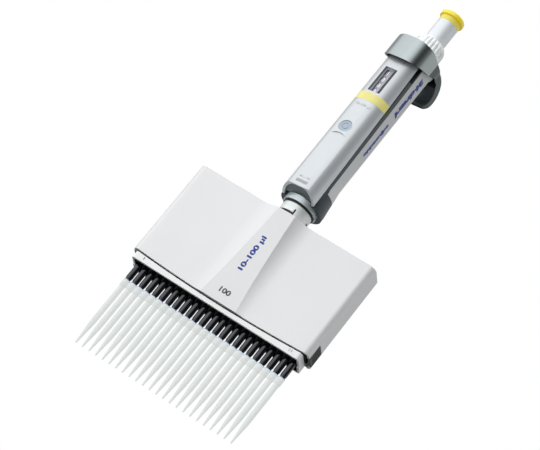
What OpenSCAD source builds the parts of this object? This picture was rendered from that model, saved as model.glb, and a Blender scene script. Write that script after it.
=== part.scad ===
// Multichannel pipette with a row of channels on a 4.5 mm pitch and its tips mounted.
// Origin: on the plunger axis, level with the ends of the tip cones.
// +Z points up the plunger axis, -Y is the front of the housing, +X runs from channel 1
// to the last channel. The handle is turned about Z by handle_turn at rest.

/* [Channels] */
// Number of channels
channel_count = 24; // [16:4:24]
// Distance between neighbouring channels
pitch = 4.5; // [4.5:0.1:5]
// Stroke that draws the nominal volume
volume_stroke = 12.5; // [8:0.5:12.5]
// Extra stroke that blows the last drop out
blowout_stroke = 3; // [1:0.5:3]
// Travel of the ejector
ejector_travel = 10.5; // [6:0.5:10.5]

/* [Tips] */
// Length of a tip below the cone end
tip_drop = 38.3; // [20:0.1:60]
// Height of the tip rim above the cone end
tip_rim_z = 6.5; // [5:0.1:7]
// Outer radius of the tip collar
tip_collar_r = 2.0; // [1.95:0.01:2.15]

/* [Housing] */
// Front face of the housing, distance from the row of cones
housing_front = 8; // [8:0.5:12]
// Back face of the housing, distance from the row of cones
housing_back = 11; // [11:0.5:16]
// Top of the housing
housing_top = 84; // [84:0.5:84]
// Lower corners of the housing
housing_bottom = 22.6; // [22.6:0.1:23]
// How far the lower edge sags at the middle
edge_sag = 2; // [1:0.1:2]
// Wall of the housing
housing_wall = 1.6; // [1.2:0.1:1.6]

/* [Handle] */
// Turn of the handle about the plunger axis at rest
handle_turn = -12.5; // [-180:0.5:180]
// Half width of the handle
grip_half_w = 11; // [11:0.1:11.2]
// Front of the handle, distance from the plunger axis
grip_front = 17; // [17:0.1:18]
// Back of the handle, distance from the plunger axis
grip_back = 7.9; // [7.5:0.1:7.9]
// Wall of the front shell
shell_wall = 1.6; // [1.4:0.1:1.6]

/* [Controls] */
// Outer radius of the volume ring
ring_r = 9.45; // [9.2:0.05:9.6]
// Number of grip flutes on the volume ring
flute_count = 22; // [12:1:30]
// Radius of the control button sleeve
button_r = 6.45; // [6:0.05:6.45]
// Radius of the control button cap
cap_r = 7.6; // [7:0.1:8]

/* [Hidden] */
$fn = 96;

row_half = (channel_count - 1) * pitch / 2;
press_travel = volume_stroke + blowout_stroke;
touch = 0.05;              // gap between parts that meet end to end
run_gap = 0.06;            // radial running clearance

// Cones, cylinders and pistons
cone_end_r = 1.30;
cone_taper_r = 1.60;
cone_taper_z = 7;
cone_r = 1.9;
cone_shoulder_r = 2.0;
cone_air_r = 0.5;
carrier_z0 = 24;
carrier_z1 = 30;
cone_top = 28;
cylinder_top = 45;
cylinder_bore_r = 1.66;
piston_r = 1.6;
piston_low = 44;
plate_z0 = 62;
plate_z1 = 66;
drive_rod_r = 2.5;
drive_top = 95;
post_x = 0.81 * row_half;
post_r = 1.5;
post_y = 5.8;
post_top = 77;
push_x = 0.48 * row_half;

// Housing
housing_half_w = row_half + 6.75;
housing_corner_r = 4;
back_panel_t = 1.65;
latch_z0 = 22.6;
latch_z1 = 32;
latch_y0 = -3;
latch_y1 = 6.5;
latch_t = 1.8;
screw_x = row_half - 1.75;
screw_low_z = 27;
screw_high_z = 74;
ridge_foot = 18.5;         // half width of the ridge at its feet
ridge_flank_r = 22;        // radius of its hollow flanks
ridge_low_h = 1;           // height of its flat top, at the lower edge and at the top
ridge_high_h = 4.3;

// Union between housing and handle
union_r = 8.45;
union_bore_r = 7;
union_sleeve_r = 9.2;
union_sleeve_z1 = 92.3;
gasket_z0 = 92.35;
gasket_z1 = 93.3;
slot_z0 = 85.4;
slot_z1 = 86.9;
link_r = 4.3;
link_bore_r = 3.2;

// Lower ejector
bar_half_w = row_half + 3.75;
bar_half_d = 8.2;
bar_wall = 1.5;
bar_z0 = 17;
bar_gap = 1.1;
eject_plate_z0 = 17.8;
eject_plate_z1 = 18.7;
yoke_z0 = 78.5;
yoke_z1 = 81.5;

// Handle heights
grip_z0 = 95.4;
grip_z1 = 204.9;
slit_y = -7.6;             // parting line of shell and chassis at grip_z0
slit_lean = 2.18;          // lean of the parting line, degrees
back_cover_y = -4.9;       // front edge of the back cover at its lower end
back_cover_lean = 1.6;
back_cover_z0 = 107;
band_z0 = 163.3;
band_z1 = 168.7;
band_depth = 0.6;
window_z0 = 170;
window_z1 = 188.2;
window_half_w = 4;
plug_z = 143.6;
plug_r = 3.9;
screw_boss_y = 10.5;
adjust_r = 2.4;
thumb_z = 138.6;
thumb_r = 8;
thumb_lean = 0.9;
chassis_wall = 2;
cover_recess = 1;
skirt_r = 13.4;
lower_web_z = 97.5;
mid_web_z = 121.5;
upper_web_z = 193;
web_t = 2;
washer_z = 128.5;
flange_z0 = 160.2;
flange_z1 = 162;
rod_r = 2;
eject_rod_x = 7.6;
eject_rod_y = -9.5;
eject_rod_r = 1.2;
eject_flange_z = 118;
lug_z0 = 200;
lug_z1 = 203;
neck_z0 = 205;
neck_z1 = 210.7;
collar_top = 210.1;
collar_half_w = 13;
collar_front = 20.5;
collar_wall = 1.4;
collar_back_y = -2.5;

// Volume setting and counter
gear_module = 0.5;
gear_teeth = 18;
pinion_teeth = 16;
gear_z0 = 165.5;
gear_h = 2.5;
counter_y = -gear_module * (gear_teeth + pinion_teeth) / 2;
wheel_r = 5.2;
wheel_h = 4.3;
wheel_pitch = 4.5;
wheel_z0 = 170.2;
shaft_r = 1;
sleeve_r = 3;
ring_z0 = 205.05;
ring_floor_z = 205.95;
sleeve_z0 = 221.5;
ring_neck_z = 211.1;
ring_top = 222;
cap_z0 = 240.2;
cap_z1 = 243.6;

function cone_radius(z) = cone_end_r + (cone_taper_r - cone_end_r) * z / cone_taper_z;
function sag_radius(half, sag) = (half * half + sag * sag) / (2 * sag);

// ---------- helpers ----------

// One copy of the children at each channel
module at_channels() {
    for (i = [0 : channel_count - 1])
        translate([i * pitch - row_half, 0, 0])
            children();
}

// One copy on each side of the middle plane
module both_sides(x) {
    for (side = [-1, 1])
        translate([side * x, 0, 0])
            children();
}

module tube(outer_r, inner_r, z0, z1) {
    translate([0, 0, z0])
        difference() {
            cylinder(h = z1 - z0, r = outer_r);
            translate([0, 0, -1])
                cylinder(h = z1 - z0 + 2, r = inner_r);
        }
}

module rod(r, z0, z1) {
    translate([0, 0, z0])
        cylinder(h = z1 - z0, r = r);
}

module box(x0, x1, y0, y1, z0, z1) {
    translate([x0, y0, z0])
        cube([x1 - x0, y1 - y0, z1 - z0]);
}

// Rectangle from (x0, y0) to (x1, y1) with round corners
module round_rect(x0, x1, y0, y1, r) {
    translate([x0 + r, y0])
        square([x1 - x0 - 2 * r, y1 - y0]);
    translate([x0, y0 + r])
        square([x1 - x0, y1 - y0 - 2 * r]);
    for (x = [x0 + r, x1 - r], y = [y0 + r, y1 - r])
        translate([x, y])
            circle(r);
}

// Oval outline: two round front corners, straight sides and two round back corners
module oval(half_w, front, back, front_r, back_r, inset = 0) {
    fx = half_w - front_r;
    bx = half_w - back_r;
    fy = front_r - front;
    by = back - back_r;
    for (side = [-1, 1]) {
        translate([side * fx, fy])
            circle(front_r - inset);
        translate([side * bx, by])
            circle(back_r - inset);
    }
    translate([-fx, inset - front])
        square([2 * fx, front_r - inset]);
    translate([inset - half_w, fy])
        square([2 * (half_w - inset), by - fy]);
    translate([-bx, by])
        square([2 * bx, back_r - inset]);
}

module grip_outline(inset = 0) {
    oval(grip_half_w, grip_front, grip_back, 9, 5.5, inset);
}

module collar_outline(inset = 0) {
    oval(collar_half_w, collar_front, collar_half_w, 11, 11, inset);
}

// Space in front of a line that starts at (y, z) and leans forward going up
module in_front_of(y, z, lean) {
    translate([0, y, z])
        rotate([lean, 0, 0])
            translate([-40, -60, -60])
                cube([80, 60, 240]);
}

// Space below a plane through (y, z) that rises by angle towards the front
module below_slope(y, z, angle) {
    translate([0, y, z])
        rotate([-angle, 0, 0])
            translate([-60, -80, -80])
                cube([120, 160, 80]);
}

// Everything of the handle is turned about the plunger axis
module turned() {
    rotate([0, 0, handle_turn])
        children();
}

// Round wire wound from z0 to z1 as a stack of rings joined by a straight rib
module coil(mean_r, wire_r, turns, z0, z1) {
    step = (z1 - z0 - 2 * wire_r) / (turns - 1);
    for (i = [0 : turns - 1])
        translate([0, 0, z0 + wire_r + i * step])
            rotate_extrude()
                translate([mean_r, 0])
                    circle(wire_r, $fn = 24);
    translate([mean_r, 0, z0 + wire_r])
        cylinder(h = z1 - z0 - 2 * wire_r, r = wire_r * 0.8, $fn = 24);
}

// Involute tooth outline with a 25 degree pressure angle
module gear_outline(teeth, backlash = 0.12) {
    pressure = 25;
    pitch_r = gear_module * teeth / 2;
    base_r = pitch_r * cos(pressure);
    tip_r = pitch_r + gear_module * 0.9;
    root_r = pitch_r - gear_module * 1.2;
    start_r = max(base_r, root_r);
    steps = 5;
    function inv(r) = tan(acos(base_r / r)) * 180 / PI - acos(base_r / r);
    half_tooth = 90 / teeth - backlash / pitch_r * 90 / PI + inv(pitch_r);
    function flank(r) = half_tooth - inv(r);
    points = [
        for (i = [0 : teeth - 1])
            let (middle = i * 360 / teeth)
                each concat(
                    [[root_r, middle - flank(start_r)]],
                    [for (k = [0 : steps])
                        let (r = start_r + (tip_r - start_r) * k / steps)
                            [r, middle - flank(r)]],
                    [for (k = [steps : -1 : 0])
                        let (r = start_r + (tip_r - start_r) * k / steps)
                            [r, middle + flank(r)]],
                    [[root_r, middle + flank(start_r)]]
                )
    ];
    polygon([for (p = points) [p[0] * cos(p[1]), p[0] * sin(p[1])]]);
}

// ---------- lower part: housing ----------

// Gently sagging lower edge: everything above an arc through both lower corners
module above_sagging_edge(z, half, sag) {
    r = sag_radius(half, sag);
    translate([0, 0, z - sag + r])
        rotate([90, 0, 0])
            cylinder(h = 60, r = r, center = true, $fn = 1440);
}

// Raised panel on the front: thicker towards the neck, with hollow flanks cut by two
// upright cylinders, so that its flat top narrows as it rises
module front_ridge() {
    z0 = housing_bottom - edge_sag;
    back_y = 1 - housing_front;
    difference() {
        rotate([90, 0, 90])
            linear_extrude(2 * ridge_foot, center = true)
                polygon([
                    [back_y, z0],
                    [-housing_front - ridge_low_h, z0],
                    [-housing_front - ridge_high_h, housing_top],
                    [back_y, housing_top]
                ]);
        both_sides(ridge_foot)
            translate([0, 0.03 - housing_front - ridge_flank_r, z0 - 1])
                cylinder(h = housing_top - z0 + 2, r = ridge_flank_r);
    }
}

module front_cover() {
    w = housing_half_w;
    wall = housing_wall;
    color("#e3e5e7")
        difference() {
            union() {
                intersection() {
                    translate([0, 0, housing_bottom - edge_sag])
                        linear_extrude(housing_top - housing_bottom + edge_sag)
                            round_rect(-w, w, -housing_front, housing_back, housing_corner_r);
                    above_sagging_edge(housing_bottom, w, edge_sag);
                }
                intersection() {
                    front_ridge();
                    above_sagging_edge(housing_bottom, w, edge_sag);
                }
            }
            box(-w + wall, w - wall, -housing_front + wall, housing_back - back_panel_t,
                housing_bottom - 10, housing_top - back_panel_t);
            // opening for the rear cover
            box(-w + 3, w - 3, housing_back - 3, housing_back + 1,
                housing_bottom - 10, housing_top - 2.3);
            rod(union_sleeve_r + 0.05, housing_top - 5, housing_top + 1);
            // openings for the latches
            for (side = [-1, 1])
                box(side * w - 3, side * w + 3, latch_y0 - 0.1, latch_y1 + 0.1,
                    housing_bottom - 5, latch_z1 + 0.1);
        }
    color("#e3e5e7")
        both_sides(screw_x)
            translate([0, -housing_front + wall, screw_high_z])
                rotate([-90, 0, 0])
                    tube(2.4, 1, 0, housing_front + housing_back - back_panel_t - wall - touch);
}

module screw_places() {
    for (z = [screw_low_z, screw_high_z])
        both_sides(screw_x)
            translate([0, 0, z])
                children();
}

module rear_cover() {
    w = housing_half_w - 3.1;
    color("#d9dcdf")
        difference() {
            box(-w, w, housing_back - back_panel_t + touch, housing_back,
                housing_bottom + 0.2, housing_top - 2.4);
            screw_places()
                rotate([90, 0, 0])
                    translate([0, 0, -housing_back - 1])
                        cylinder(h = 6, r = 1.05);
            screw_places()
                rotate([90, 0, 0])
                    translate([0, 0, -housing_back - 1])
                        cylinder(h = 2.1, r = 2.05);
        }
}

module cover_screws() {
    color("silver")
        screw_places()
            rotate([90, 0, 0])
                difference() {
                    union() {
                        translate([0, 0, -housing_back + 0.1])
                            cylinder(h = 1, r = 2);
                        translate([0, 0, -housing_back + 0.1])
                            cylinder(h = 6, r = 1);
                    }
                    translate([0, 0, -housing_back])
                        cylinder(h = 0.8, r = 0.9, $fn = 6);
                }
}

module latch(side) {
    outer = housing_half_w + 0.4;
    color("#2c3236")
        difference() {
            scale([side, 1, 1])
                box(outer - latch_t, outer, latch_y0, latch_y1, latch_z0, latch_z1);
            for (i = [0 : 4])
                box(side * outer - 0.35, side * outer + 0.35,
                    latch_y0 + 1.2 + i * 1.6, latch_y0 + 1.9 + i * 1.6,
                    latch_z0 + 1, latch_z1 - 1);
        }
}

module latch_left() {
    latch(-1);
}

module latch_right() {
    latch(1);
}

module union_core() {
    z0 = housing_top - 2.3;
    color("#23292c") {
        tube(union_r, union_bore_r, z0, lower_web_z - 0.4);
        intersection() {
            tube(12, union_bore_r, z0, z0 + 0.6);
            box(-12, 12, -housing_front + housing_wall + 0.1,
                housing_back - back_panel_t - 0.1, z0 - 1, z0 + 1);
        }
    }
}

module union_sleeve() {
    color("#f2f3f1")
        difference() {
            tube(union_sleeve_r, union_r, housing_top - 1.65, union_sleeve_z1);
            // bayonet slot from the left of the front to just right of it, with a short upright
            box(-7.8, 2.3, -12, -4.4, slot_z0, slot_z1);
            box(1.3, 2.3, -12, -4.4, slot_z0 + 0.5, slot_z1 + 2.2);
            // notch for the catch on the right
            box(6.4, 12, -2, 5, slot_z0 + 0.6, slot_z1 + 1.6);
        }
}

// ---------- lower part: channels ----------

module cone_carrier() {
    w = row_half + 2.75;
    color("#30363b")
        difference() {
            box(-w, w, -housing_front + housing_wall + 0.2,
                housing_back - back_panel_t - 0.1, carrier_z0, carrier_z1);
            at_channels()
                rod(cone_shoulder_r, carrier_z0 - 1, carrier_z1 + 1);
            both_sides(post_x)
                translate([0, post_y, 0])
                    rod(post_r, carrier_z0 + 0.5, carrier_z1 + 1);
            both_sides(push_x)
                translate([0, post_y, 0])
                    rod(post_r + run_gap, carrier_z0 - 1, carrier_z1 + 1);
            both_sides(screw_x)
                translate([0, housing_back, screw_low_z])
                    rotate([90, 0, 0])
                        cylinder(h = 6.5, r = 1.02);
        }
}

module tip_cones() {
    color("#23282e")
        at_channels()
            rotate_extrude()
                polygon([
                    [cone_air_r, 0],
                    [cone_end_r, 0],
                    [cone_taper_r, cone_taper_z],
                    [cone_r, cone_taper_z + 1.5],
                    [cone_r, carrier_z0 - 0.6],
                    [cone_shoulder_r, carrier_z0],
                    [cone_shoulder_r, cone_top],
                    [cone_air_r, cone_top]
                ]);
}

module cylinders() {
    color("#c9ccd0")
        at_channels()
            tube(cone_shoulder_r, cylinder_bore_r, cone_top, cylinder_top);
}

module piston_seals() {
    color("#1d1f21")
        at_channels()
            tube(cone_shoulder_r, piston_r + 0.02, cylinder_top, cylinder_top + 1.2);
}

module pistons() {
    color("#b9bdc2")
        at_channels()
            rod(piston_r, piston_low, plate_z0);
}

module guide_posts() {
    color("#c4c8cc")
        both_sides(post_x)
            translate([0, post_y, 0])
                rod(post_r, carrier_z0 + 0.5, post_top);
}

module piston_plate() {
    w = row_half + 2.2;
    color("#4a5157")
        difference() {
            box(-w, w, -4, 8.6, plate_z0, plate_z1);
            both_sides(post_x)
                translate([0, post_y, 0])
                    rod(post_r + run_gap, plate_z0 - 1, plate_z1 + 1);
            both_sides(push_x)
                translate([0, post_y, 0])
                    rod(post_r + 0.1, plate_z0 - 1, plate_z1 + 1);
        }
}

module drive_rod() {
    color("#c4c8cc")
        rod(drive_rod_r, plate_z1, drive_top);
}

// ---------- lower part: ejector ----------

module bar_half(side) {
    w = bar_half_w;
    z0 = side > 0 ? bar_z0 - 0.6 : bar_z0;
    inner_w = w - bar_wall;
    inner_d = bar_half_d - bar_wall;
    flange_z = eject_plate_z1 + touch;
    color("#f0f1f2")
        scale([1, side, 1])
            difference() {
                union() {
                    difference() {
                        translate([0, 0, z0])
                            linear_extrude(housing_bottom - z0)
                                intersection() {
                                    round_rect(-w, w, -bar_half_d, bar_half_d, 2);
                                    translate([-w - 1, 0.08])
                                        square([2 * w + 2, 20]);
                                }
                        above_sagging_edge(housing_bottom - bar_gap, housing_half_w, edge_sag);
                        box(-inner_w, inner_w, -1, inner_d, z0 - 1, housing_bottom);
                    }
                    // flange over the ejector plate
                    box(-inner_w - 0.1, inner_w + 0.1, cone_r + 0.6, inner_d + 0.1,
                        flange_z, housing_bottom - edge_sag - bar_gap - touch);
                }
                if (side > 0)
                    both_sides(push_x)
                        translate([0, post_y, 0])
                            rod(post_r, eject_plate_z1, 22);
            }
}

module ejector_bar_front() {
    bar_half(-1);
}

module ejector_bar_rear() {
    bar_half(1);
}

module ejector_plate() {
    w = bar_half_w - bar_wall - touch;
    d = bar_half_d - bar_wall - touch;
    color("#15171a")
        difference() {
            box(-w, w, -d, d, eject_plate_z0, eject_plate_z1);
            at_channels()
                rod(cone_r + 0.08, eject_plate_z0 - 1, eject_plate_z1 + 1);
        }
}

module push_rods() {
    color("#c4c8cc")
        both_sides(push_x)
            translate([0, post_y, 0])
                rod(post_r, eject_plate_z1, yoke_z0);
}

module ejector_yoke() {
    color("#4a5157") {
        difference() {
            box(-push_x - 2.5, push_x + 2.5, -3, 8, yoke_z0, yoke_z1);
            rod(link_bore_r, yoke_z0 - 1, yoke_z1 + 1);
        }
        tube(link_r, link_bore_r, yoke_z0, drive_top - touch);
    }
}

module tips() {
    wall_gap = 0.03;
    color("#e8eeee")
        at_channels()
            rotate_extrude($fn = 48)
                polygon([
                    [0.24, -tip_drop],
                    [0.42, -tip_drop],
                    [1.50, 13.3 - tip_drop],
                    [1.60, 18.3 - tip_drop],
                    [1.62, -1.5],
                    [1.66, 1.9],
                    [tip_collar_r, 2.4],
                    [tip_collar_r, tip_rim_z],
                    [cone_radius(tip_rim_z) + wall_gap, tip_rim_z],
                    [cone_radius(0) + wall_gap, 0],
                    [1.22, -1.5],
                    [1.20, 18.3 - tip_drop],
                    [1.08, 13.3 - tip_drop]
                ]);
}

// ---------- handle: shells ----------

module front_shell() {
    color("#dfe2e4")
        turned()
            difference() {
                union() {
                    difference() {
                        intersection() {
                            translate([0, 0, grip_z0])
                                linear_extrude(grip_z1 - grip_z0)
                                    grip_outline();
                            in_front_of(slit_y, grip_z0, slit_lean);
                        }
                        translate([0, 0, grip_z0 - 1])
                            linear_extrude(grip_z1 - grip_z0 + 2)
                                grip_outline(shell_wall);
                    }
                    // boss for the adjusting screw
                    translate([0, -screw_boss_y, plug_z])
                        rotate([90, 0, 0])
                            tube(plug_r + 0.8, adjust_r, 0, grip_front - screw_boss_y - 0.5);
                }
                // lower edge rises towards the front
                below_slope(slit_y, grip_z0, 25.5);
                // flat for the thumb
                translate([0, -16.5, thumb_z])
                    rotate([thumb_lean, 0, 0]) {
                        box(-20, 20, -10, 0, -60, -thumb_r);
                        translate([0, 0, -thumb_r])
                            rotate([90, 0, 0])
                                cylinder(h = 10, r = thumb_r);
                    }
                // groove for the colour band
                translate([0, 0, band_z0])
                    linear_extrude(band_z1 - band_z0)
                        difference() {
                            grip_outline(-1);
                            grip_outline(band_depth);
                        }
                box(-window_half_w, window_half_w, -20, -12, window_z0, window_z1);
                translate([0, -15.35, plug_z])
                    rotate([90, 0, 0])
                        cylinder(h = 10, r = plug_r);
            }
}

module colour_band() {
    color("#e8df86")
        turned()
            intersection() {
                translate([0, 0, band_z0])
                    linear_extrude(band_z1 - band_z0)
                        difference() {
                            grip_outline(-0.05);
                            grip_outline(band_depth);
                        }
                in_front_of(slit_y, grip_z0, slit_lean);
            }
}

// Places of the ejector rods inside the handle
module at_eject_rods() {
    both_sides(eject_rod_x)
        translate([0, eject_rod_y, 0])
            children();
}

// Flare of the back above the coupling ring
module skirt_flare() {
    translate([0, 0, grip_z0 + 3])
        cylinder(h = 19.6, r1 = skirt_r, r2 = 11.2);
}

module chassis() {
    gap = 0.6;
    color("#3c464a")
        turned()
            difference() {
                union() {
                    difference() {
                        translate([0, 0, grip_z0])
                            linear_extrude(grip_z1 - grip_z0)
                                grip_outline();
                        translate([0, 0, grip_z0 - 1])
                            linear_extrude(grip_z1 - grip_z0 + 2)
                                grip_outline(chassis_wall);
                        in_front_of(slit_y + gap, grip_z0, slit_lean);
                    }
                    // skirt around the coupling ring, tapering up into the back
                    difference() {
                        union() {
                            rod(skirt_r, grip_z0, grip_z0 + 3);
                            skirt_flare();
                        }
                        in_front_of(slit_y + gap, grip_z0, slit_lean);
                        rod(9, grip_z0 - 1, 120);
                        translate([0, 0, lower_web_z + web_t])
                            linear_extrude(30)
                                grip_outline(chassis_wall);
                    }
                    // webs
                    for (z = [lower_web_z, mid_web_z, upper_web_z])
                        intersection() {
                            translate([0, 0, z])
                                linear_extrude(web_t)
                                    grip_outline(chassis_wall);
                            box(-20, 20, z < 100 ? slit_y : -20, 20, z, z + web_t);
                        }
                    // bosses for the neck screws
                    both_sides(5)
                        translate([0, -12.8, 0])
                            rod(1.3, upper_web_z, neck_z0 - touch);
                }
                // recess for the back cover
                difference() {
                    translate([0, 0, back_cover_z0])
                        linear_extrude(grip_z1 - back_cover_z0 + 1)
                            difference() {
                                square(40, center = true);
                                grip_outline(cover_recess);
                            }
                    in_front_of(back_cover_y, back_cover_z0, back_cover_lean);
                }
                rod(10.75, grip_z0 - 1, lower_web_z - 0.3);
                rod(link_r + run_gap, lower_web_z - 1, lower_web_z + web_t + 1);
                rod(rod_r + run_gap, mid_web_z - 1, mid_web_z + web_t + 1);
                rod(sleeve_r + run_gap, upper_web_z - 1, upper_web_z + web_t + 1);
                at_eject_rods()
                    rod(eject_rod_r + 0.05, mid_web_z - 1, mid_web_z + web_t + 1);
                // slots for the ejector lugs
                for (side = [-1, 1])
                    scale([side, 1, 1])
                        box(6.2, 13, -20, eject_rod_y + 1.3,
                            lug_z0 - ejector_travel - 1, grip_z1 + 1);
                at_eject_rods()
                    rod(eject_rod_r + 0.2, upper_web_z - 1, upper_web_z + web_t + 1);
                both_sides(5)
                    translate([0, -12.8, 0])
                        rod(0.8, 197, neck_z0);
            }
}

module back_cover() {
    color("#b4b7b9")
        turned()
            difference() {
                union() {
                    translate([0, 0, back_cover_z0 + 0.1])
                        linear_extrude(grip_z1 - back_cover_z0 - 0.1)
                            difference() {
                                grip_outline();
                                grip_outline(cover_recess - 0.03);
                            }
                    // lower end carries on the flare of the chassis
                    difference() {
                        skirt_flare();
                        box(-20, 20, -20, 20, 90, back_cover_z0 + 0.1);
                        translate([0, 0, grip_z0])
                            linear_extrude(30)
                                grip_outline(cover_recess - 0.03);
                    }
                    // lip at the upper end
                    intersection() {
                        translate([0, 0, 203.7])
                            linear_extrude(1.2)
                                difference() {
                                    grip_outline(-1.2);
                                    grip_outline(0.5);
                                }
                        box(-9, 9, 5, 12, 200, 206);
                    }
                }
                in_front_of(back_cover_y + 0.1, back_cover_z0, back_cover_lean);
            }
}

module neck_ring() {
    color("#f1f2f2")
        turned()
            difference() {
                translate([0, 0, neck_z0])
                    linear_extrude(neck_z1 - neck_z0)
                        collar_outline(collar_wall + 0.1);
                rod(8 + run_gap, neck_z0 - 1, neck_z1 + 1);
                both_sides(5)
                    translate([0, -12.8, 0]) {
                        rod(0.8, neck_z0 - 1, neck_z1 + 1);
                        rod(1.65, neck_z1 - 1.3, neck_z1 + 1);
                    }
            }
}

module handle_screws() {
    color("silver")
        turned()
            both_sides(5)
                translate([0, -12.8, 0]) {
                    rod(0.8, 197.2, neck_z1 - 1.2);
                    difference() {
                        rod(1.6, neck_z1 - 1.25, neck_z1 - 0.1);
                        translate([0, 0, neck_z1 - 0.7])
                            cylinder(h = 1, r = 0.8, $fn = 6);
                    }
                }
}

// Side view of the hook: a raised root behind the neck, then a thick arc to a round tip
module hook_profile() {
    outer_y = 13;
    outer_z = 201.4;
    outer_r = 11.8;
    inner_y = 12.6;
    inner_z = 199.3;
    inner_r = 8.2;
    seat_z = 207.6;
    tip_angle = -30;
    difference() {
        union() {
            translate([outer_y, outer_z])
                circle(outer_r);
            translate([5, outer_z])
                square([outer_y - 5, outer_r]);
        }
        translate([inner_y, inner_z])
            circle(inner_r);
        // open below the tip
        translate([inner_y, inner_z])
            rotate(tip_angle)
                translate([-40, -40])
                    square([80, 40]);
        // clear of the handle
        translate([-20, 180])
            square([29.2, 25.1]);
        // flat seat for the rail of a stand
        translate([0, 195])
            square([16, seat_z - 195]);
    }
    translate([inner_y, inner_z])
        rotate(tip_angle)
            translate([9.56, 0])
                circle(1.36);
}

module finger_hook() {
    cheek_bottom = 201.3;
    tongue_half_w = 9;
    cheek_inset = collar_wall + 0.1;
    color("#4a5256")
        turned()
            difference() {
                union() {
                    // cheeks that carry on the line of the ejector button
                    difference() {
                        intersection() {
                            translate([0, 0, cheek_bottom])
                                linear_extrude(collar_top - cheek_bottom)
                                    collar_outline();
                            box(-20, 20, collar_back_y + 0.1, 20, 190, 220);
                        }
                        below_slope(collar_back_y, cheek_bottom, -25.5);
                    }
                    // tongue
                    intersection() {
                        rotate([90, 0, 90])
                            linear_extrude(2 * tongue_half_w, center = true)
                                hook_profile();
                        translate([0, 40, 0])
                            rotate([90, 0, 0])
                                linear_extrude(50)
                                    round_rect(-tongue_half_w, tongue_half_w,
                                               189.5, 220, 8.5);
                    }
                }
                translate([0, 0, 180])
                    linear_extrude(neck_z1 + touch - 180)
                        collar_outline(cheek_inset);
                rod(ring_r + 0.25, neck_z1, 230);
            }
}

// ---------- handle: window, counter and small parts ----------

module window_lens() {
    color("#dfeaf0", 0.4)
        turned()
            intersection() {
                box(-window_half_w + touch, window_half_w - touch, -20, -15.4,
                    window_z0 + touch, window_z1 - touch);
                translate([0, 0, window_z0])
                    linear_extrude(window_z1 - window_z0)
                        grip_outline(0.15);
            }
}

module counter_frame() {
    opening = 3.6;
    arm_half_w = 3.5;
    color("#2a2b33")
        turned()
            intersection() {
                difference() {
                    union() {
                        box(-5.2, 5.2, -15.35, -14.2, 161.6, 190.8);
                        for (z = [161.6, 189])
                            box(-arm_half_w, arm_half_w, -14.3, counter_y + 2, z, z + 1.8);
                    }
                    box(-opening, opening, -16, -14.1, window_z0 + 0.3, window_z1 - 0.3);
                    translate([0, counter_y, 0])
                        rod(shaft_r, 160, 193);
                }
                translate([0, 0, 160])
                    linear_extrude(34)
                        grip_outline(shell_wall + touch);
            }
}

module counter_shaft() {
    color("silver")
        turned()
            translate([0, counter_y, 0])
                rod(shaft_r, 161.2, 191.2);
}

module adjustment_plug() {
    color("#b9c6d2")
        turned()
            translate([0, -15.4, plug_z])
                rotate([90, 0, 0])
                    difference() {
                        cylinder(h = 1.25, r = plug_r - touch);
                        translate([0, 0, 1.05])
                            tube(2.2, 1.6, 0, 1);
                    }
}

module adjustment_screw() {
    color("#8a8f94")
        turned()
            translate([0, -screw_boss_y, plug_z])
                rotate([90, 0, 0])
                    difference() {
                        cylinder(h = 4.7, r = adjust_r);
                        box(-3, 3, -0.4, 0.4, 3.7, 6);
                    }
}

module saddle() {
    color("#7d8888")
        turned()
            difference() {
                intersection() {
                    translate([0, 0, 96])
                        linear_extrude(10)
                            grip_outline(shell_wall + touch);
                    box(-20, 20, -20, slit_y - 0.6, 90, 110);
                }
                below_slope(slit_y, grip_z0 + 1.6, 25.5);
                rod(union_r + 0.1, 90, 97.6);
            }
}

module coupling_ring() {
    color("#cfd8da")
        tube(10.6, union_r + 0.05, gasket_z1 + touch, 97);
}

module union_gasket() {
    color("#141414")
        tube(9.75, union_r + 0.02, gasket_z0, gasket_z1);
}

// ---------- handle: springs ----------

module ejector_spring() {
    color("silver")
        coil(link_r + 0.55, 0.35, 8, lower_web_z + web_t, eject_flange_z);
}

module blowout_spring() {
    color("silver")
        coil(3.6, 0.5, 4, mid_web_z + web_t, washer_z);
}

module blowout_washer() {
    color("#8a8f94")
        tube(4.4, rod_r + run_gap, washer_z, washer_z + 1);
}

module main_spring() {
    color("silver")
        coil(3.6, 0.45, 12, washer_z + 1, flange_z0);
}

// ---------- control button ----------

module button_cap() {
    color("#e6d52f")
        translate([0, 0, cap_z0])
            rotate_extrude()
                difference() {
                    round_rect(-cap_r, cap_r, 0, cap_z1 - cap_z0, 1.4);
                    translate([-20, -1])
                        square([20, 10]);
                }
}

module button_skirt() {
    color("#ece59a")
        rod(button_r + 0.05, 237, cap_z0);
}

module button_sleeve() {
    color("#c9ced2")
        tube(button_r, rod_r, sleeve_z0, 237);
}

module button_rod() {
    color("#c4c8cc")
        rod(rod_r, drive_top + touch, 237);
}

module rod_flange() {
    color("#8a8f94")
        tube(4.2, rod_r, flange_z0, flange_z1);
}

// ---------- volume setting ----------

module volume_ring() {
    shoulder_r = ring_r - 1.4;
    color("#f1f3f3")
        difference() {
            rotate_extrude()
                polygon([
                    [rod_r + run_gap, ring_z0],
                    [8, ring_z0],
                    [8, ring_neck_z],
                    [ring_r, ring_neck_z],
                    [ring_r, ring_top - 3.6],
                    [ring_r - 0.35, ring_top - 1.8],
                    [shoulder_r, ring_top],
                    [button_r + 0.1, ring_top],
                    [button_r + 0.1, ring_floor_z],
                    [rod_r + run_gap, ring_floor_z]
                ]);
            // grooves, deep at the top and fading out downwards
            for (i = [0 : flute_count - 1])
                rotate([0, 0, i * 360 / flute_count])
                    translate([ring_r + 0.55, 0, ring_top - 7.5])
                        rotate([0, -10, 0])
                            rotate([0, 0, 45])
                                translate([-0.7, -0.7, 0])
                                    cube([1.4, 1.4, 14]);
        }
}

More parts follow.
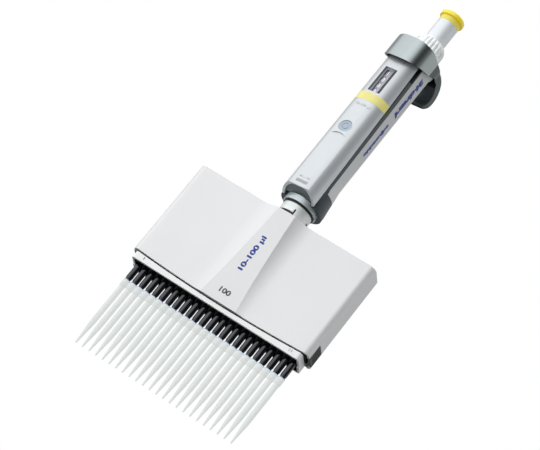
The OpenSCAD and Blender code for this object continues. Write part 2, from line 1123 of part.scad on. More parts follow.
module volume_sleeve() {
    color("#8a8f94")
        tube(sleeve_r, rod_r + run_gap, 163.5, ring_z0);
}

module drive_gear() {
    color("#c8b56a")
        turned()
            translate([0, 0, gear_z0])
                rotate([0, 0, -90])
                    linear_extrude(gear_h)
                        difference() {
                            gear_outline(gear_teeth);
                            circle(sleeve_r);
                        }
}

module wheel(index) {
    color("#eceef0")
        turned()
            translate([0, counter_y, 0])
                tube(wheel_r, shaft_r + touch, wheel_z0 + index * wheel_pitch,
                     wheel_z0 + index * wheel_pitch + wheel_h);
}

module counter_wheel_tenths() {
    wheel(0);
}

module counter_wheel_units() {
    wheel(1);
}

module counter_wheel_tens() {
    wheel(2);
}

module counter_wheel_hundreds() {
    wheel(3);
}

module counter_pinion() {
    color("#c8b56a")
        turned()
            translate([0, counter_y, 0]) {
                translate([0, 0, gear_z0])
                    rotate([0, 0, 90 + 180 / pinion_teeth])
                        linear_extrude(gear_h)
                            difference() {
                                gear_outline(pinion_teeth);
                                circle(shaft_r + touch);
                            }
                tube(2.2, shaft_r + touch, gear_z0 + 0.2, wheel_z0);
            }
}

// ---------- ejector in the handle ----------

module ejector_button() {
    color("#8d9193")
        turned()
            difference() {
                union() {
                    difference() {
                        intersection() {
                            translate([0, 0, 190])
                                linear_extrude(collar_top - 190)
                                    collar_outline();
                            box(-20, 20, -30, collar_back_y, 180, 220);
                        }
                        translate([0, 0, 180])
                            linear_extrude(40)
                                collar_outline(collar_wall);
                        below_slope(-collar_front, 194.4, -19.8);
                    }
                    for (side = [-1, 1])
                        scale([side, 1, 1])
                            box(eject_rod_x, collar_half_w - 1, eject_rod_y - 1,
                                eject_rod_y + 1, lug_z0, lug_z1);
                }
                at_eject_rods()
                    rod(eject_rod_r, lug_z0 - 1, lug_z1 + 1);
            }
}

module ejector_rods() {
    color("#c4c8cc")
        turned() {
            at_eject_rods()
                rod(eject_rod_r, eject_flange_z + 1, lug_z1);
            difference() {
                union() {
                    rod(5.3, eject_flange_z, eject_flange_z + web_t);
                    box(-8.7, 8.7, -10.6, 0, eject_flange_z, eject_flange_z + web_t);
                }
                rod(link_bore_r, eject_flange_z - 1, eject_flange_z + 5);
            }
            tube(link_r, link_bore_r, drive_top + touch, eject_flange_z + 1);
        }
}

front_cover();
rear_cover();
union_core();
union_sleeve();
cone_carrier();
tip_cones();
cylinders();
piston_seals();
guide_posts();
cover_screws();
latch_left();
latch_right();
pistons();
piston_plate();
drive_rod();
ejector_bar_front();
ejector_bar_rear();
ejector_plate();
ejector_yoke();
push_rods();
tips();
front_shell();
colour_band();
chassis();
back_cover();
finger_hook();
neck_ring();
window_lens();
counter_frame();
counter_shaft();
adjustment_plug();
adjustment_screw();
saddle();
coupling_ring();
union_gasket();
handle_screws();
blowout_spring();
blowout_washer();
main_spring();
ejector_spring();
button_cap();
button_skirt();
button_sleeve();
button_rod();
rod_flange();
volume_ring();
volume_sleeve();
drive_gear();
counter_wheel_tenths();
counter_wheel_units();
counter_wheel_tens();
counter_wheel_hundreds();
counter_pinion();
ejector_button();
ejector_rods();
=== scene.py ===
"""Looks of the multichannel pipette: finishes for the CAD pieces, printed marks,
counter digits, the filleted button cap, and a plain studio."""

import math

import bmesh
import bpy
from mathutils import Matrix, Vector


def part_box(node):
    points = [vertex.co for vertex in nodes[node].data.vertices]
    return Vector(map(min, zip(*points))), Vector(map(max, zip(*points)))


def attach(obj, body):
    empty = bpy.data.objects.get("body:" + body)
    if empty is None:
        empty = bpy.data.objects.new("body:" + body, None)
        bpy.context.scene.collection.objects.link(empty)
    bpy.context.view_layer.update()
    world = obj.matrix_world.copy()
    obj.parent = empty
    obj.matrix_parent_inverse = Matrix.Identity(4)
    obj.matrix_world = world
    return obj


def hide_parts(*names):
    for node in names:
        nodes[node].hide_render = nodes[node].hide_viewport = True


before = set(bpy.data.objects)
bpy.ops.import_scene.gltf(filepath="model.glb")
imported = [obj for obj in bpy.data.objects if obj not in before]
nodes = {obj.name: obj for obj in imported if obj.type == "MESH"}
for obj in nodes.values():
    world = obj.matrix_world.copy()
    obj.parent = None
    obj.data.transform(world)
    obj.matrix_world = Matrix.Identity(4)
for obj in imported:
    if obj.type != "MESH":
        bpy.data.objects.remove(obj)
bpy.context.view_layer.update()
scene = bpy.context.scene

MM = 0.001
TURN = Matrix.Rotation(math.radians(-12.5), 4, "Z")  # the handle's turn at rest

CHANNELS = 24
PITCH = 4.5  # between channels, in mm

MOTTLE = 0.03  # share by which the colour wanders
BROAD_SCALE = 55  # noise scales, per metre
FINE_SCALE = 900
SCUFF_SCALE = 110
BUMP_HEIGHT = 0.000006  # in metres
COAT_ROUGHNESS = 0.08
# These three serve painted shade: black painted inside the ejector bar and on faces that look down,
# where shadow falls.
LOOKS_DOWN = -0.85  # faces whose normal is steeper than this count as facing down
INSIDE_SHADE_BLACK = "#08090b"
UNDERSIDE_SHADE_BLACK = "#0b0d0e"

PRINT_LIFT = 0.05  # how far a print stands above and below its surface, in mm
PRINT_STEP = 0.5  # between the cuts that let lettering bend, in mm

HANDLE_SIDE_X = 11  # flat right side of the handle, in mm and in the handle's own frame
BAR_FRONT_Y = -8.2  # front of the ejector bar, in mm
FLOOR_Z = -0.09  # in metres
EVEN_LIGHT = 0.44  # strength of the studio before its lobes
LEAST_LIGHT = 0.02


# ---------- small helpers ----------


def linear(code):
    """A '#rrggbb' colour as scene-linear RGBA."""
    out = []
    for i in (1, 3, 5):
        c = int(code[i : i + 2], 16) / 255
        out.append(c / 12.92 if c <= 0.04045 else ((c + 0.055) / 1.055) ** 2.4)
    return (*out, 1.0)


def scaled(colour, k):
    return tuple(min(1.0, c * k) for c in colour[:3]) + (1.0,)


def mesh_from(bm, name):
    """The finished mesh of a bmesh, which is freed."""
    mesh = bpy.data.meshes.new(name)
    bm.to_mesh(mesh)
    bm.free()
    return mesh


def add_object(name, mesh, mat, body, stands_for=()):
    obj = bpy.data.objects.new(name, mesh)
    scene.collection.objects.link(obj)
    mesh.materials.append(mat)
    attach(obj, body)
    if stands_for:
        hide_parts(*stands_for)
    return obj


# ---------- materials ----------


def material(
    name,
    colour,
    rough=0.4,
    metallic=0.0,
    coat=0.0,
    grain=0.12,
    scuffs=True,
    edge=0.3,
    specular=0.5,
    clear=0.0,
    second=None,
    blend_axis=None,
    shade_inside=None,
    shade_below=False,
    painted_glow=0.0,
    clear_end=None,
    edge_shade=None,
):
    """Procedural finish: broad colour mottling, scuffs in the roughness, fine grain and soft edges.
    second with blend_axis (axis, from, to in mm) fades the colour along an axis.
    shade_inside (half width, half depth in mm) paints shade: it blackens what lies inside that
    rectangle, and shade_below paints shade black on the faces that look down. clear is the share of
    light let straight through;
    clear_end (from, to in mm, share) changes it down the piece. glow is painted light: emission
    that lights the piece though it is no lamp. edge_shade is painted shade: the colour where the
    surface turns away from the eye."""
    mat = bpy.data.materials.new(name)
    mat.use_nodes = True
    tree = mat.node_tree
    new, link = tree.nodes.new, tree.links.new
    shader = tree.nodes["Principled BSDF"]
    base = linear(colour)

    coords = new("ShaderNodeTexCoord")
    broad = new("ShaderNodeTexNoise")
    broad.inputs["Scale"].default_value = BROAD_SCALE
    broad.inputs["Detail"].default_value = 4
    link(coords.outputs["Object"], broad.inputs["Vector"])
    fine = new("ShaderNodeTexNoise")
    fine.inputs["Scale"].default_value = FINE_SCALE
    fine.inputs["Detail"].default_value = 2
    link(coords.outputs["Object"], fine.inputs["Vector"])
    scuff = new("ShaderNodeTexNoise")
    scuff.inputs["Scale"].default_value = SCUFF_SCALE
    scuff.inputs["Detail"].default_value = 2
    link(coords.outputs["Object"], scuff.inputs["Vector"])

    tone = new("ShaderNodeMix")
    tone.data_type = "RGBA"
    tone.inputs["A"].default_value = scaled(base, 1 - MOTTLE)
    tone.inputs["B"].default_value = scaled(base, 1 + MOTTLE)
    link(broad.outputs["Fac"], tone.inputs["Factor"])
    result = tone.outputs["Result"]
    if second:
        axis, start, end = blend_axis
        split = new("ShaderNodeSeparateXYZ")
        link(coords.outputs["Object"], split.inputs["Vector"])
        fade = new("ShaderNodeMapRange")
        fade.interpolation_type = "SMOOTHSTEP"
        fade.inputs["From Min"].default_value = start * MM
        fade.inputs["From Max"].default_value = end * MM
        link(split.outputs[axis], fade.inputs["Value"])
        mix = new("ShaderNodeMix")
        mix.data_type = "RGBA"
        mix.inputs["B"].default_value = linear(second)
        link(fade.outputs["Result"], mix.inputs["Factor"])
        link(result, mix.inputs["A"])
        result = mix.outputs["Result"]
    # Painted shade: what lies inside the rectangle is painted black for the shadow inside the
    # piece.
    if shade_inside:
        split = new("ShaderNodeSeparateXYZ")
        link(coords.outputs["Object"], split.inputs["Vector"])
        inside = []
        for axis, half in zip("XY", shade_inside):
            size = new("ShaderNodeMath")
            size.operation = "ABSOLUTE"
            link(split.outputs[axis], size.inputs[0])
            less = new("ShaderNodeMath")
            less.operation = "LESS_THAN"
            less.inputs[1].default_value = half * MM
            link(size.outputs["Value"], less.inputs[0])
            inside.append(less)
        both = new("ShaderNodeMath")
        both.operation = "MULTIPLY"
        link(inside[0].outputs["Value"], both.inputs[0])
        link(inside[1].outputs["Value"], both.inputs[1])
        mix = new("ShaderNodeMix")
        mix.data_type = "RGBA"
        mix.inputs["B"].default_value = linear(INSIDE_SHADE_BLACK)
        link(both.outputs["Value"], mix.inputs["Factor"])
        link(result, mix.inputs["A"])
        result = mix.outputs["Result"]
    # Painted shade: faces that look down are painted black for the shadow under the piece.
    if shade_below:
        facing = new("ShaderNodeNewGeometry")
        split = new("ShaderNodeSeparateXYZ")
        link(facing.outputs["True Normal"], split.inputs["Vector"])
        under = new("ShaderNodeMath")
        under.operation = "LESS_THAN"
        under.inputs[1].default_value = LOOKS_DOWN
        link(split.outputs["Z"], under.inputs[0])
        mix = new("ShaderNodeMix")
        mix.data_type = "RGBA"
        mix.inputs["B"].default_value = linear(UNDERSIDE_SHADE_BLACK)
        link(under.outputs["Value"], mix.inputs["Factor"])
        link(result, mix.inputs["A"])
        result = mix.outputs["Result"]
    # Painted shade: a darker colour where the surface turns away from the eye.
    if edge_shade:
        rim = new("ShaderNodeLayerWeight")
        rim.inputs["Blend"].default_value = 0.3
        mix = new("ShaderNodeMix")
        mix.data_type = "RGBA"
        mix.inputs["B"].default_value = linear(edge_shade)
        link(rim.outputs["Facing"], mix.inputs["Factor"])
        link(result, mix.inputs["A"])
        result = mix.outputs["Result"]
    link(result, shader.inputs["Base Color"])
    # Painted light: the piece emits its own colour though it is no lamp.
    if painted_glow:
        link(result, shader.inputs["Emission Color"])
        shader.inputs["Emission Strength"].default_value = painted_glow

    worn = new("ShaderNodeMapRange")
    worn.inputs["From Min"].default_value = 0.35
    worn.inputs["From Max"].default_value = 0.7
    worn.inputs["To Min"].default_value = max(0.02, rough - 0.03)
    worn.inputs["To Max"].default_value = rough + 0.04
    link(scuff.outputs["Fac"], worn.inputs["Value"])
    shader.inputs["Roughness"].default_value = rough
    if scuffs:
        link(worn.outputs["Result"], shader.inputs["Roughness"])

    bump = new("ShaderNodeBump")
    bump.inputs["Strength"].default_value = grain
    bump.inputs["Distance"].default_value = BUMP_HEIGHT
    link(fine.outputs["Fac"], bump.inputs["Height"])
    if edge:
        rounded = new("ShaderNodeBevel")
        rounded.samples = 4
        rounded.inputs["Radius"].default_value = edge * MM
        link(rounded.outputs["Normal"], bump.inputs["Normal"])
    link(bump.outputs["Normal"], shader.inputs["Normal"])

    shader.inputs["Metallic"].default_value = metallic
    shader.inputs["Specular IOR Level"].default_value = specular
    shader.inputs["Coat Weight"].default_value = coat
    shader.inputs["Coat Roughness"].default_value = COAT_ROUGHNESS
    if clear:
        through = new("ShaderNodeBsdfTransparent")
        blend = new("ShaderNodeMixShader")
        blend.inputs["Fac"].default_value = 1 - clear
        if clear_end:
            start, end, share = clear_end
            split = new("ShaderNodeSeparateXYZ")
            link(coords.outputs["Object"], split.inputs["Vector"])
            fade = new("ShaderNodeMapRange")
            fade.inputs["From Min"].default_value = start * MM
            fade.inputs["From Max"].default_value = end * MM
            fade.inputs["To Min"].default_value = 1 - clear
            fade.inputs["To Max"].default_value = 1 - share
            link(split.outputs["Z"], fade.inputs["Value"])
            rim = new("ShaderNodeLayerWeight")
            rim.inputs["Blend"].default_value = 0.35
            more = new("ShaderNodeMath")
            more.operation = "MULTIPLY_ADD"
            more.use_clamp = True
            more.inputs[1].default_value = 0.45
            link(rim.outputs["Facing"], more.inputs[0])
            link(fade.outputs["Result"], more.inputs[2])
            link(more.outputs["Value"], blend.inputs["Fac"])
        link(through.outputs["BSDF"], blend.inputs[1])
        link(shader.outputs["BSDF"], blend.inputs[2])
        link(blend.outputs["Shader"], tree.nodes["Material Output"].inputs["Surface"])
    return mat


housing = material("housing white", "#e9e9ea", rough=0.36, metallic=0.12, edge=0.35)
shell = material("shell white", "#d0d4d7", rough=0.3, metallic=0.32, edge=0, scuffs=False)
rear = material("rear panel white", "#d6d9dc", rough=0.5, edge=0.2)
# Painted shade: the bar's inner faces are painted black for the shadow inside it; the outside stays
# white.
bar_white = material(
    "bar white", "#f4f4f4", rough=0.36, metallic=0.08, edge=0.2, shade_inside=(54.2, 6.85)
)
side_grey = material("side grey", "#d8dadc", rough=0.4, edge=0)
dark_grey = material("chassis dark", "#303b40", rough=0.34, metallic=0.2, edge=0)
# Painted shade: the ejector button's downward faces are painted black for the shadow under it.
collar_grey = material(
    "collar grey", "#9aa1a2", rough=0.17, metallic=0.9, edge=0, scuffs=False, shade_below=True
)
# Painted shade: the finger hook's downward faces are painted black for the shadow under it.
hook_grey = material("hook grey", "#4a5255", rough=0.34, metallic=0.5, edge=0, shade_below=True)
saddle_grey = material("saddle grey", "#7f8989", rough=0.35, edge=0.2)
ring_white = material("ring white", "#f2f4f5", rough=0.33, metallic=0.15, edge=0, scuffs=False)
union_pale = material("union pale", "#e6eae9", rough=0.25, metallic=0.2, edge=0, scuffs=False)
coupling_pale = material("coupling pale", "#c6d0d3", rough=0.24, metallic=0.3, edge=0, scuffs=False)
# Painted light: the yellow cap, skirt and band glow a little so that their shaded sides stay
# bright.
cap_yellow = material("cap yellow", "#efd928", rough=0.3, coat=0.2, edge=0, painted_glow=0.22)
skirt_yellow = material("skirt pale yellow", "#eadb5c", rough=0.36, edge=0, painted_glow=0.2)
band_yellow = material("band pale yellow", "#efe68c", rough=0.38, edge=0.15, painted_glow=0.08)
plug_blue = material("plug blue grey", "#b3c2d0", rough=0.3, edge=0.15)
cone_black = material(
    "cone blue black", "#0a1122", rough=0.1, coat=0.5, specular=0.5, grain=0.03, edge=0,
    scuffs=False,
)
core_black = material("union core black", "#0f1112", rough=0.5, edge=0.1)
carrier_black = material("carrier black", "#08090b", rough=0.5, specular=0.2, edge=0.1)
latch_black = material("latch black", "#14181c", rough=0.36, specular=0.35, edge=0.1)
rubber = material("rubber black", "#111214", rough=0.62, grain=0.3, edge=0.1)
steel = material("steel", "#c2c7cb", rough=0.22, metallic=1.0, grain=0.05, edge=0.1)
spring = material("spring steel", "#aab0b4", rough=0.28, metallic=1.0, edge=0)
brass = material("brass", "#c9a659", rough=0.3, metallic=1.0, edge=0.1)
# Painted light: the counter's wheels, digits and frame glow so that they show lit behind the
# window.
wheel_lilac = material("wheel lilac grey", "#b3b1bd", rough=0.5, edge=0, painted_glow=0.35)
digit_white = material("digit white", "#f4f3f7", rough=0.5, edge=0, painted_glow=0.6)
frame_lilac = material("counter frame lilac", "#a9a8b4", rough=0.5, edge=0, painted_glow=0.3)
bar_dark = material("window bar dark", "#23222b", rough=0.3, edge=0)
sleeve_chrome = material(
    "button sleeve", "#e9eef1", rough=0.26, metallic=0.12, grain=0.03, edge=0.1, scuffs=False
)
lens = material("window lens", "#eef4f6", rough=0.06, clear=0.96, grain=0, edge=0, scuffs=False)
# Painted light on the tips: a strong glow stands in for light passing through them, edge_shade
# paints shade at their edges, and the bluish band at the top of the collar (second) is a painted
# highlight.
tip_milky = material(
    "tip milky", "#979998", rough=0.3, clear=0.12, clear_end=(0, -38, 0.3), painted_glow=1.6,
    grain=0.01, specular=0.3, edge=0, scuffs=False, edge_shade="#858c8a",
    second="#8f9cae", blend_axis=("Z", 5.6, 6.4),
)
# Painted highlight: the pale blue bead at every tip rim.
rim_highlight_blue = material("tip rim", "#bfd3e2", rough=0.25, clear=0.25, edge=0)
ink_blue = material("ink blue", "#0a3a9c", rough=0.45, edge=0)
ink_brown = material("ink brown", "#3a3632", rough=0.5, edge=0)
ink_grey = material("ink grey", "#b2b3b5", rough=0.5, edge=0)
ink_faint = material("ink faint", "#b0b4b8", rough=0.5, edge=0)

NODE_MATERIALS = {
    "front_cover": housing,
    "rear_cover": rear,
    "union_core": core_black,
    "union_sleeve": union_pale,
    "union_gasket": rubber,
    "cone_carrier": carrier_black,
    "tip_cones": cone_black,
    "cylinders": steel,
    "piston_seals": rubber,
    "guide_posts": steel,
    "cover_screws": steel,
    "latch_left": latch_black,
    "latch_right": latch_black,
    "pistons": steel,
    "piston_plate": dark_grey,
    "drive_rod": steel,
    "ejector_bar_front": bar_white,
    "ejector_bar_rear": bar_white,
    "ejector_plate": carrier_black,
    "ejector_yoke": dark_grey,
    "push_rods": steel,
    "tips": tip_milky,
    "front_shell": shell,
    "colour_band": band_yellow,
    "chassis": dark_grey,
    "back_cover": side_grey,
    "finger_hook": hook_grey,
    "neck_ring": ring_white,
    "window_lens": lens,
    "counter_frame": frame_lilac,
    "counter_shaft": steel,
    "adjustment_plug": plug_blue,
    "adjustment_screw": steel,
    "saddle": saddle_grey,
    "coupling_ring": coupling_pale,
    "handle_screws": steel,
    "blowout_spring": spring,
    "blowout_washer": steel,
    "main_spring": spring,
    "ejector_spring": spring,
    "button_cap": cap_yellow,
    "button_skirt": skirt_yellow,
    "button_sleeve": sleeve_chrome,
    "button_rod": steel,
    "rod_flange": steel,
    "volume_ring": ring_white,
    "volume_sleeve": steel,
    "drive_gear": brass,
    "counter_wheel_tenths": wheel_lilac,
    "counter_wheel_units": wheel_lilac,
    "counter_wheel_tens": wheel_lilac,
    "counter_wheel_hundreds": wheel_lilac,
    "counter_pinion": brass,
    "ejector_button": collar_grey,
    "ejector_rods": steel,
}


def smooth_group(angle):
    """Node group that shades smooth except across edges sharper than angle degrees."""
    group = bpy.data.node_groups.new(f"smooth below {angle}", "GeometryNodeTree")
    group.interface.new_socket("Geometry", in_out="INPUT", socket_type="NodeSocketGeometry")
    group.interface.new_socket("Geometry", in_out="OUTPUT", socket_type="NodeSocketGeometry")
    new, link = group.nodes.new, group.links.new
    start, end = new("NodeGroupInput"), new("NodeGroupOutput")
    faces = new("GeometryNodeSetShadeSmooth")
    edges = new("GeometryNodeSetShadeSmooth")
    edges.domain = "EDGE"
    turn = new("GeometryNodeInputMeshEdgeAngle")
    soft = new("FunctionNodeCompare")
    soft.operation = "LESS_THAN"
    soft.inputs["B"].default_value = math.radians(angle)
    link(start.outputs[0], faces.inputs["Geometry"])
    link(faces.outputs["Geometry"], edges.inputs["Geometry"])
    link(turn.outputs["Unsigned Angle"], soft.inputs["A"])
    link(soft.outputs["Result"], edges.inputs["Shade Smooth"])
    link(edges.outputs["Geometry"], end.inputs[0])
    return group


FLAT_ANGLE, USUAL_ANGLE, ROUND_ANGLE = 12, 30, 55
SMOOTH = {angle: smooth_group(angle) for angle in (FLAT_ANGLE, USUAL_ANGLE, ROUND_ANGLE)}
SMOOTH_BELOW = {
    "front_cover": FLAT_ANGLE,
    "tips": ROUND_ANGLE,
    "tip_cones": ROUND_ANGLE,
    "volume_ring": ROUND_ANGLE,
}


def finish_node(name, mat):
    obj = nodes[name]
    obj.data.materials.clear()
    obj.data.materials.append(mat)
    normals = obj.data.attributes.get("custom_normal")
    if normals:
        obj.data.attributes.remove(normals)
    weld = obj.modifiers.new("weld", "WELD")
    weld.merge_threshold = 0.000002
    smooth = obj.modifiers.new("smooth", "NODES")
    smooth.node_group = SMOOTH[SMOOTH_BELOW.get(name, USUAL_ANGLE)]


for node_name, node_mat in NODE_MATERIALS.items():
    finish_node(node_name, node_mat)


# ---------- printed marks ----------


def cut_across(bm, places):
    """Cut a mesh by planes across X, so that it can bend around a curved surface."""
    for x in places:
        bmesh.ops.bisect_plane(
            bm,
            geom=bm.verts[:] + bm.edges[:] + bm.faces[:],
            plane_co=(x, 0, 0),
            plane_no=(1, 0, 0),
        )


def text_piece(name, string, height, length, place, mat, body, slant=0.0, bold=0.0):
    """Flat lettering mapped onto a surface. place(u, v, w) gives the point in metres for
    u along the line, v up the letters and w out of the surface, all in mm."""
    curve = bpy.data.curves.new(name, "FONT")
    curve.body = string
    curve.extrude = 0.02
    curve.offset = bold
    curve.resolution_u = 6
    temp = bpy.data.objects.new(name, curve)
    scene.collection.objects.link(temp)
    bpy.context.view_layer.update()
    flat = temp.evaluated_get(bpy.context.evaluated_depsgraph_get()).to_mesh()
    bm = bmesh.new()
    bm.from_mesh(flat)
    bpy.data.objects.remove(temp)
    xs = [v.co.x for v in bm.verts]
    ys = [v.co.y for v in bm.verts]
    kx = length / (max(xs) - min(xs))
    ky = height / (max(ys) - min(ys))
    x0, y0 = min(xs), min(ys)
    for v in bm.verts:
        u, up = (v.co.x - x0) * kx, (v.co.y - y0) * ky
        v.co = Vector((u + slant * up, up, v.co.z))
    cut_across(bm, [i * PRINT_STEP for i in range(1, int(length / PRINT_STEP))])
    for v in bm.verts:
        v.co = place(v.co.x, v.co.y, PRINT_LIFT if v.co.z > 0 else -PRINT_LIFT)
    return add_object(name, mesh_from(bm, name), mat, body)


def plateau_y(z):
    """Front of the housing's raised panel at height z, in mm. It leans forward going up."""
    return -9 - 3.3 * (z - 20.6) / 63.4


def on_plateau(x0, z0, upright):
    def place(u, v, w):
        x, z = (x0 + u, z0 + v) if upright else (x0 - v, z0 + u)
        return Vector((x, plateau_y(z) - w, z)) * MM

    return place


def on_bar(x0, z0):
    """On the front of the ejector bar."""

    def place(u, v, w):
        return Vector((x0 + u, BAR_FRONT_Y - w, z0 + v)) * MM

    return place


def grip_front(x):
    """Front of the round handle at x, in mm and in the handle's own frame."""
    side = max(0.0, abs(x) - 2)
    return -8 - math.sqrt(81 - side * side)


def on_grip(x0, z0, flat_y=None):
    def place(u, v, w):
        x, z = x0 + u, z0 + v
        y = grip_front(x) if flat_y is None else flat_y(z)
        return TURN @ Vector((x, y - w, z)) * MM

    return place


def on_side(y0, z0):
    """Reading down the right side of the handle, letter tops towards the back."""

    def place(u, v, w):
        return TURN @ Vector((HANDLE_SIDE_X + w, y0 + v, z0 - u)) * MM

    return place


text_piece(
    "mark_nominal_volume", "100", 3.2, 6.8, on_plateau(-3.5, 26.0, True),
    ink_brown, "lower_housing", bold=0.03,
)
text_piece(
    "mark_range", "10-100 µl", 3.7, 23.2, on_plateau(0.8, 42.2, False),
    ink_blue, "lower_housing", bold=0.045,
)
text_piece(
    "mark_side_upper", "24-channel", 3.9, 27.5, on_side(-2.9, 197.8),
    ink_blue, "handle", slant=0.2, bold=0.1,
)
text_piece(
    "mark_side_lower", "adjustable", 2.9, 24.0, on_side(-2.0, 163.8),
    ink_blue, "handle", slant=0.2, bold=0.07,
)
text_piece(
    "mark_grip_range", "10-100 µl", 2.1, 9.5, on_grip(-4.2, 158.6),
    ink_faint, "handle",
)
text_piece(
    "mark_first_channel", "1", 1.7, 0.7, on_bar(-49.2, 18.6),
    ink_faint, "ejector_drive",
)
text_piece(
    "mark_last_channel", "24", 1.7, 2.6, on_bar(47.4, 18.6),
    ink_faint, "ejector_drive",
)


def thumb_flat_y(z):
    """Front of the handle's flat for the thumb at height z, in mm."""
    return -16.5 + math.tan(math.radians(0.9)) * (138.6 - z)


def print_bar(name, place, width, height, mat):
    """Thin printed bar, split across its width so that it follows a curved surface."""
    bm = bmesh.new()
    bmesh.ops.create_cube(bm, size=1)
    cut_across(bm, [i / 8 - 0.5 for i in range(1, 8)])
    for v in bm.verts:
        v.co = place((v.co.x + 0.5) * width, (v.co.y + 0.5) * height, v.co.z * 2 * PRINT_LIFT)
    return add_object(name, mesh_from(bm, name), mat, "handle")


print_bar(
    "mark_print_bar", on_grip(-3.7, 101.5, thumb_flat_y), 7.6, 1.9, ink_grey
)
text_piece(
    "mark_flat_print", "24 x 100", 1.3, 7.0, on_grip(-3.4, 104.7, thumb_flat_y),
    ink_faint, "handle",
)
for side, left in (("left", -3.95), ("right", 2.6)):
    print_bar(
        f"window_bar_{side}", on_grip(left, 170.1), 1.35, 18.0, bar_dark
    )

# ---------- counter digits ----------

WHEEL_R = 5.2
COUNTER_Y = -8.5
DIGIT_TURN = math.radians(-22)  # centres a digit in the window as seen from the right
DIGIT_STEP = math.radians(36)
DIGIT_HEIGHT = 2.9
SHOWN = {"hundreds": 1, "tens": 0, "units": 0, "tenths": 0}


def on_wheel(digit_angle, z0, width):
    def place(u, v, w):
        a = digit_angle + (u - width / 2) / WHEEL_R
        r = WHEEL_R + w
        return TURN @ Vector((r * math.sin(a), COUNTER_Y - r * math.cos(a), z0 + v)) * MM

    return place


for wheel, shown in SHOWN.items():
    low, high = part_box(f"counter_wheel_{wheel}")
    middle = (low[2] + high[2]) / 2 / MM
    for digit in range(10):
        width = 0.7 if digit == 1 else 1.9
        text_piece(
            f"digit_{wheel}_{digit}", str(digit), DIGIT_HEIGHT, width,
            on_wheel(DIGIT_TURN + (digit - shown) * DIGIT_STEP, middle - DIGIT_HEIGHT / 2, width),
            digit_white, f"counter_{wheel}", bold=0.03,
        )


# ---------- turned pieces ----------


def lathe(name, profile, mat, body, stands_for=(), segments=128):
    """Closed solid of revolution about the plunger axis from (radius, height) points in mm."""
    bm = bmesh.new()
    rings = []
    for r, z in profile:
        if r == 0:
            rings.append([bm.verts.new((0, 0, z * MM))])
            continue
        rings.append([
            bm.verts.new((
                r * MM * math.cos(2 * math.pi * i / segments),
                r * MM * math.sin(2 * math.pi * i / segments),
                z * MM,
            ))
            for i in range(segments)
        ])
    for a, b in zip(rings, rings[1:]):
        for i in range(segments):
            j = (i + 1) % segments
            if len(a) == 1:
                bm.faces.new((a[0], b[j], b[i]))
            elif len(b) == 1:
                bm.faces.new((a[i], a[j], b[0]))
            else:
                bm.faces.new((a[i], a[j], b[j], b[i]))
    bmesh.ops.recalc_face_normals(bm, faces=bm.faces)
    mesh = mesh_from(bm, name)
    mesh.shade_smooth()
    obj = add_object(name, mesh, mat, body, stands_for)
    smooth = obj.modifiers.new("smooth", "NODES")
    smooth.node_group = SMOOTH[USUAL_ANGLE]
    return obj


def arc(cr, cz, r, start, end, steps=8):
    """Points of an arc about (cr, cz), angles in degrees from the outward direction."""
    return [
        (
            cr + r * math.cos(math.radians(start + (end - start) * i / steps)),
            cz + r * math.sin(math.radians(start + (end - start) * i / steps)),
        )
        for i in range(steps + 1)
    ]


lathe(
    "cap_with_fillet",
    [(0, 240.0), (6.5, 240.0)]
    + arc(7.0, 240.0, 0.5, 180, 110, 4)
    + arc(6.75, 241.0, 0.85, -40, 0, 4)
    + arc(6.4, 242.4, 1.2, 0, 90, 8)
    + [(5.4, 243.55), (3, 243.4), (0, 243.35)],
    cap_yellow, "button", ("button_cap",),
)
lathe(
    "skirt_sleeve",
    [(0, 237.0), (6.45, 237.0), (6.52, 237.15), (6.52, 240.1), (0, 240.1)],
    skirt_yellow, "button", ("button_skirt",),
)


def tip_rims():
    """Fine bluish bead around the rim of every tip: a painted blue highlight at each rim."""
    radius, thick, tall, around = 2.0, 0.12, 0.16, 32
    bm = bmesh.new()
    low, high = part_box("tips")
    z = high[2] - 0.0001
    for i in range(CHANNELS):
        x = (i - (CHANNELS - 1) / 2) * PITCH * MM
        ring = []
        for k in range(around):
            a = 2 * math.pi * k / around
            ring.append([
                bm.verts.new((
                    x + (radius + thick * math.cos(b)) * MM * math.cos(a),
                    (radius + thick * math.cos(b)) * MM * math.sin(a),
                    z + tall * MM * math.sin(b),
                ))
                for b in (0, math.pi / 2, math.pi, 3 * math.pi / 2)
            ])
        for k in range(around):
            a, b = ring[k], ring[(k + 1) % around]
            for q in range(4):
                r = (q + 1) % 4
                bm.faces.new((a[q], b[q], b[r], a[r]))
    bmesh.ops.recalc_face_normals(bm, faces=bm.faces)
    mesh = mesh_from(bm, "tip_rims")
    mesh.shade_smooth()
    add_object("tip_rims", mesh, rim_highlight_blue, "tip_row")


tip_rims()


# ---------- studio ----------


def build_floor():
    bm = bmesh.new()
    bmesh.ops.create_grid(bm, x_segments=1, y_segments=1, size=4)
    mesh = mesh_from(bm, "floor")
    floor = bpy.data.objects.new("floor", mesh)
    floor.location = (0, 0, FLOOR_Z)
    scene.collection.objects.link(floor)
    mat = bpy.data.materials.new("floor pale")
    mat.use_nodes = True
    tree = mat.node_tree
    new, link = tree.nodes.new, tree.links.new
    shader = tree.nodes["Principled BSDF"]
    shader.inputs["Roughness"].default_value = 0.8
    noise = new("ShaderNodeTexNoise")
    noise.inputs["Scale"].default_value = 9
    tone = new("ShaderNodeMix")
    tone.data_type = "RGBA"
    tone.inputs["A"].default_value = (0.86, 0.86, 0.86, 1)
    tone.inputs["B"].default_value = (0.9, 0.9, 0.9, 1)
    link(noise.outputs["Fac"], tone.inputs["Factor"])
    link(tone.outputs["Result"], shader.inputs["Base Color"])
    # seen from below it is clear, so that the low camera looks past it
    side = new("ShaderNodeNewGeometry")
    through = new("ShaderNodeBsdfTransparent")
    blend = new("ShaderNodeMixShader")
    link(side.outputs["Backfacing"], blend.inputs["Fac"])
    link(shader.outputs["BSDF"], blend.inputs[1])
    link(through.outputs["BSDF"], blend.inputs[2])
    link(blend.outputs["Shader"], tree.nodes["Material Output"].inputs["Surface"])
    mesh.materials.append(mat)
    floor.visible_diffuse = False
    floor.visible_glossy = False


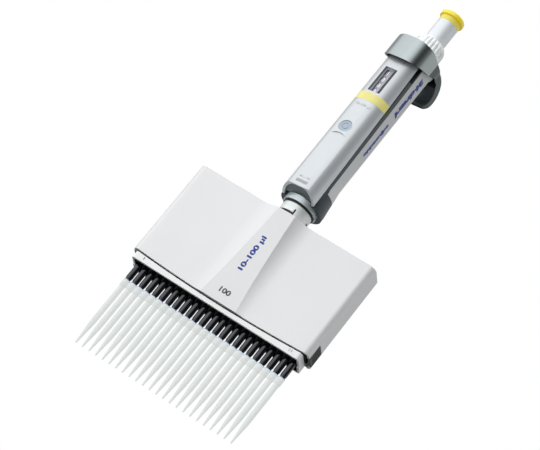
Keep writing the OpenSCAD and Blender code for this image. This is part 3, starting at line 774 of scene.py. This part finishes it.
def build_world():
    """White to the camera; to everything else a soft studio with a key from the upper left
    front, a weaker right side and a dark patch to the right of the front."""
    world = bpy.data.worlds.new("studio")
    scene.world = world
    world.use_nodes = True
    tree = world.node_tree
    tree.nodes.clear()
    new, link = tree.nodes.new, tree.links.new
    coords = new("ShaderNodeTexCoord")
    total = None

    def lobe(direction, inner, outer, strength):
        """Add light, full within inner degrees of a direction and none beyond outer."""
        nonlocal total
        dot = new("ShaderNodeVectorMath")
        dot.operation = "DOT_PRODUCT"
        dot.inputs[1].default_value = Vector(direction).normalized()
        link(coords.outputs["Generated"], dot.inputs[0])
        spread = new("ShaderNodeMapRange")
        spread.interpolation_type = "SMOOTHSTEP"
        spread.inputs["From Min"].default_value = math.cos(math.radians(outer))
        spread.inputs["From Max"].default_value = math.cos(math.radians(inner))
        spread.inputs["To Max"].default_value = strength
        link(dot.outputs["Value"], spread.inputs["Value"])
        if total is None:
            base = new("ShaderNodeMath")
            base.inputs[0].default_value = EVEN_LIGHT
            total = base
            link(spread.outputs["Result"], base.inputs[1])
            return
        add = new("ShaderNodeMath")
        link(total.outputs["Value"], add.inputs[0])
        link(spread.outputs["Result"], add.inputs[1])
        total = add

    lobe((-0.6, -0.64, 0.48), 18, 64, 1.2)  # key
    lobe((-0.1, -0.95, 0.3), 10, 50, 0.26)  # front
    lobe((0, 0, 1), 20, 80, 0.4)  # top
    lobe((0.9, 0.4, 0.3), 10, 60, 0.3)  # right side
    lobe((0.77, -0.54, 0.34), 14, 42, -0.5)  # dark patch
    lobe((0, 0, -1), 25, 88, -0.34)  # darker from below
    keep = new("ShaderNodeMath")
    keep.operation = "MAXIMUM"
    keep.inputs[1].default_value = LEAST_LIGHT
    link(total.outputs["Value"], keep.inputs[0])

    studio = new("ShaderNodeBackground")
    studio.inputs["Color"].default_value = (0.985, 0.995, 1.0, 1)
    link(keep.outputs["Value"], studio.inputs["Strength"])
    white = new("ShaderNodeBackground")
    white.inputs["Color"].default_value = (1, 1, 1, 1)
    white.inputs["Strength"].default_value = 1.0
    path = new("ShaderNodeLightPath")
    blend = new("ShaderNodeMixShader")
    link(path.outputs["Is Camera Ray"], blend.inputs["Fac"])
    link(studio.outputs["Background"], blend.inputs[1])
    link(white.outputs["Background"], blend.inputs[2])
    out = new("ShaderNodeOutputWorld")
    link(blend.outputs["Shader"], out.inputs["Surface"])


def build_camera():
    """Below the object and in front of it, rolled so that the handle points up to the right."""
    az, el, roll = (math.radians(a) for a in (21.156, -20.457, 39.009))
    back = Vector((
        math.sin(az) * math.cos(el), -math.cos(az) * math.cos(el), math.sin(el),
    ))
    right = Vector((math.cos(az), math.sin(az), 0))
    up = back.cross(right)
    across = math.cos(roll) * right + math.sin(roll) * up
    above = -math.sin(roll) * right + math.cos(roll) * up
    target = Vector((-7.694, 0, 77.18)) * MM
    distance = 1.29414
    place = Matrix((across, above, back)).transposed().to_4x4()
    place.translation = target + back * distance
    data = bpy.data.cameras.new("camera")
    data.lens = 158.63
    data.sensor_width = 36
    data.clip_start = 0.05
    data.clip_end = 20
    camera = bpy.data.objects.new("camera", data)
    scene.collection.objects.link(camera)
    camera.matrix_world = place
    scene.camera = camera


build_floor()
build_world()
build_camera()
scene.view_settings.view_transform = "Standard"
scene.view_settings.look = "None"
